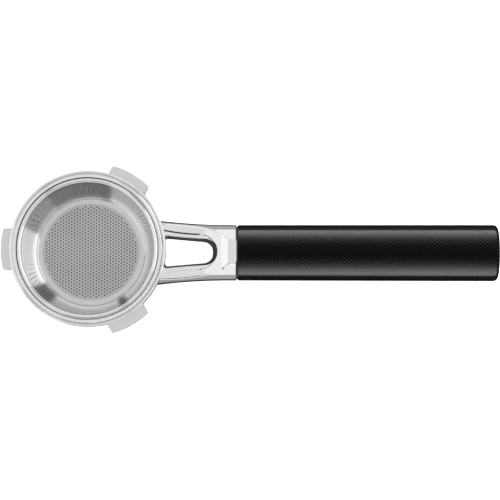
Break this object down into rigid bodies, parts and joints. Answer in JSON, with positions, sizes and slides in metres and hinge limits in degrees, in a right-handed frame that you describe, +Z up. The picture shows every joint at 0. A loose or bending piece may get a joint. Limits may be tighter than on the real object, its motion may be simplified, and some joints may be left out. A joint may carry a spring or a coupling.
{
  "type": "espresso portafilter",
  "caption": "Espresso portafilter with a lift-out perforated basket, locking lugs, forked neck, screw-on twin spout and a straight black grip.",
  "frame": {"origin": "on the head's axis, in the plane of the body's top rim", "axes": "+X along the handle, away from the head; +Z up, out of the basket's mouth"},
  "size_m": [0.2228, 0.0738, 0.0622],
  "materials": {
    "polished_casting": "bright polished chrome plate over cast brass, matte on the lugs",
    "polished_spout": "bright polished chrome plate",
    "basket_steel": "stamped stainless, fine circular polishing",
    "spring_steel": "bright drawn spring wire",
    "seal_fibre": "flat food-grade seal",
    "black_rubber": "black elastomer",
    "core_plastic": "black glass-filled moulding",
    "black_grip": "satin black with a fine surface texture",
    "black_oxide_steel": "black oxide",
    "zinc_steel": "zinc plated",
    "black_cap": "satin black moulding"
  },
  "bodies": {
    "body_and_handle": {"portafilter_body": "polished_casting", "basket_spring": "spring_steel", "collar_gasket": "black_rubber", "locating_pins": "spring_steel", "handle_core": "core_plastic", "grip_sleeve": "black_grip", "tie_bolt": "black_oxide_steel", "bolt_washer": "zinc_steel", "lock_washer": "zinc_steel", "end_cap": "black_cap", "cap_ring": "black_rubber"},
    "basket": {"filter_basket": "basket_steel"},
    "washer": {"spout_washer": "seal_fibre"},
    "spout": {"twin_spout": "polished_spout"}
  },
  "joints": [
    {"name": "basket_lift", "type": "slide", "parent": "body_and_handle", "child": "basket", "axis": [0, 0, 1], "range_m": [0, 0.034]},
    {"name": "spout_drop", "type": "slide", "parent": "body_and_handle", "child": "washer", "axis": [0, 0, -1], "range_m": [0, 0.0082]},
    {"name": "spout_turn", "type": "hinge", "parent": "washer", "child": "spout", "pos_m": [0, 0, -0.04], "axis": [0, 0, -1], "range_deg": [0, 2160]}
  ],
  "couplings": [
    {"joint": "spout_drop", "follows": "spout_turn", "m_per_rad": 0.00021279}
  ]
}
